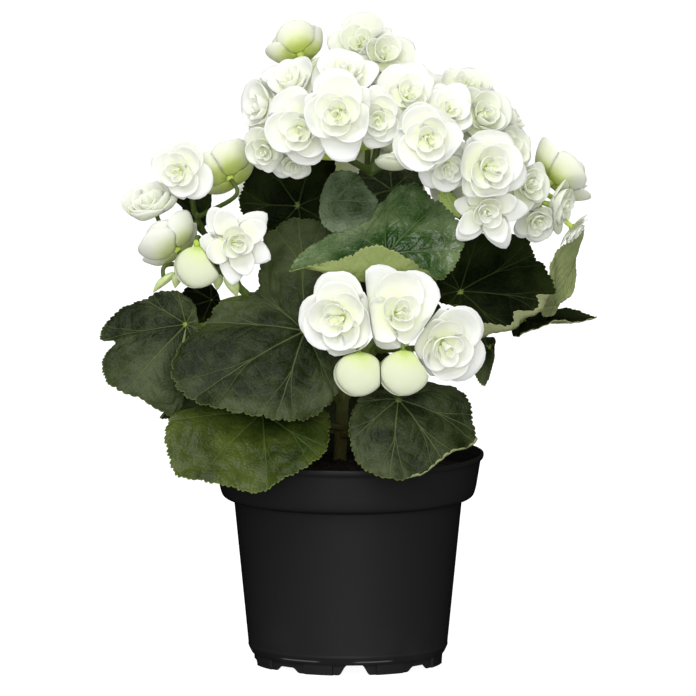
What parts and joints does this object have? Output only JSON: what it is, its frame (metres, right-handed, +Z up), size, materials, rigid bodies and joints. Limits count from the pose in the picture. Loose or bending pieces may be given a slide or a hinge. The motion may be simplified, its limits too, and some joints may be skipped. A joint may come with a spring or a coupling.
{
  "type": "potted begonia",
  "caption": "Flowering house plant with a dome of layered white blooms over broad toothed leaves, rooted in soil in a tapered black nursery pot with a collar.",
  "frame": {"origin": "middle of the circle that the pot's foot stands on, at floor level", "axes": "+X to the right and -Y towards the viewer in the front view, +Z up"},
  "size_m": [0.2182, 0.1568, 0.2883],
  "materials": {
    "pot": "satin black moulded plastic",
    "soil": "dark crumbly peat",
    "stem": "smooth fleshy green, brown at the base",
    "leaf": "glossy dark green with pale veins",
    "young_leaf": "soft pale green",
    "petal": "waxy white",
    "green_petal": "waxy white flushed with green"
  },
  "bodies": {
    "root": {"bud_front_left": "petal", "bud_front_right": "petal", "bud_left": "petal", "bud_middle": "petal", "flower_crown_front": "petal", "flower_crown_left": "petal", "flower_crown_right": "petal", "flower_front_left": "petal", "flower_front_middle": "petal", "flower_front_right": "petal", "flower_left_edge": "petal", "flower_left_front": "petal", "flower_left_high": "green_petal", "flower_left_low": "petal", "flower_left_shoulder": "petal", "flower_left_star": "petal", "flower_left_top": "petal", "flower_middle": "petal", "flower_middle_small": "petal", "flower_right_front": "petal", "flower_right_inner": "petal", "flower_right_low": "petal", "flower_right_small": "petal", "flower_top_front": "petal", "leaf_back_high": "leaf", "leaf_back_left": "leaf", "leaf_back_low": "leaf", "leaf_back_right": "leaf", "leaf_big_left": "leaf", "leaf_bract": "young_leaf", "leaf_far_left": "leaf", "leaf_left_back": "leaf", "leaf_left_tip": "leaf", "leaf_middle": "leaf", "leaf_pot_left": "leaf", "leaf_pot_right": "leaf", "leaf_right_dark": "leaf", "leaf_right_hanging": "leaf", "leaf_right_low": "leaf", "leaf_right_pale": "leaf", "leaf_shade": "leaf", "leaf_under_bud": "leaf", "leaf_upper": "leaf", "pot": "pot", "soil": "soil", "spray_back_crown": "petal", "spray_back_left": "petal", "spray_back_low": "petal", "spray_back_right": "petal", "spray_far_right": "green_petal", "spray_right_edge": "green_petal", "spray_right_side": "petal", "spray_right_top": "petal", "spray_small_left": "petal", "spray_top": "petal", "spray_top_left": "green_petal", "stem": "stem"}
  },
  "joints": []
}
